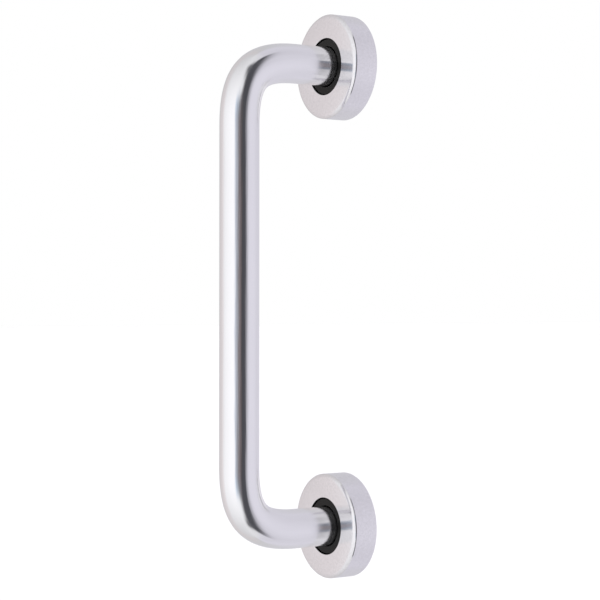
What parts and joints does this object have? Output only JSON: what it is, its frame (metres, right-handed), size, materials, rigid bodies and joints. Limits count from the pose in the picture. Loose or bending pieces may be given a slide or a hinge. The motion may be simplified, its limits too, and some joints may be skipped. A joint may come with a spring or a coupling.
{
  "type": "grab rail",
  "caption": "D-shaped grab rail: a round aluminium bar bent at both ends, on two round feet with black nylon roses and sliding aluminium covers that hide the fixings.",
  "frame": {"origin": "on the wall, midway between the two feet", "axes": "+Z along the hand grip towards the upper foot, +Y into the wall, +X across the rail"},
  "size_m": [0.051, 0.0718, 0.276],
  "materials": {
    "bar_aluminium": "satin anodised, drawn along the bar",
    "cover_aluminium": "satin anodised, turned face",
    "black_nylon": "moulded, fine grain",
    "plated_steel": "bright zinc plated",
    "screw_steel": "zinc plated",
    "black_rubber": "matt"
  },
  "bodies": {
    "rail": {"grip_bar": "bar_aluminium", "upper_fixing_rose": "black_nylon", "upper_cover_o_ring": "black_rubber", "upper_mounting_plate": "plated_steel", "upper_end_screw": "screw_steel", "upper_locating_pin": "screw_steel", "lower_fixing_rose": "black_nylon", "lower_cover_o_ring": "black_rubber", "lower_mounting_plate": "plated_steel", "lower_end_screw": "screw_steel", "lower_locating_pin": "screw_steel"},
    "upper_cover": {"upper_cover": "cover_aluminium"},
    "lower_cover": {"lower_cover": "cover_aluminium"}
  },
  "joints": [
    {"name": "upper_cover_slide", "type": "slide", "parent": "rail", "child": "upper_cover", "axis": [0, -1, 0], "range_m": [0, 0.034]},
    {"name": "lower_cover_slide", "type": "slide", "parent": "rail", "child": "lower_cover", "axis": [0, -1, 0], "range_m": [0, 0.034]}
  ]
}
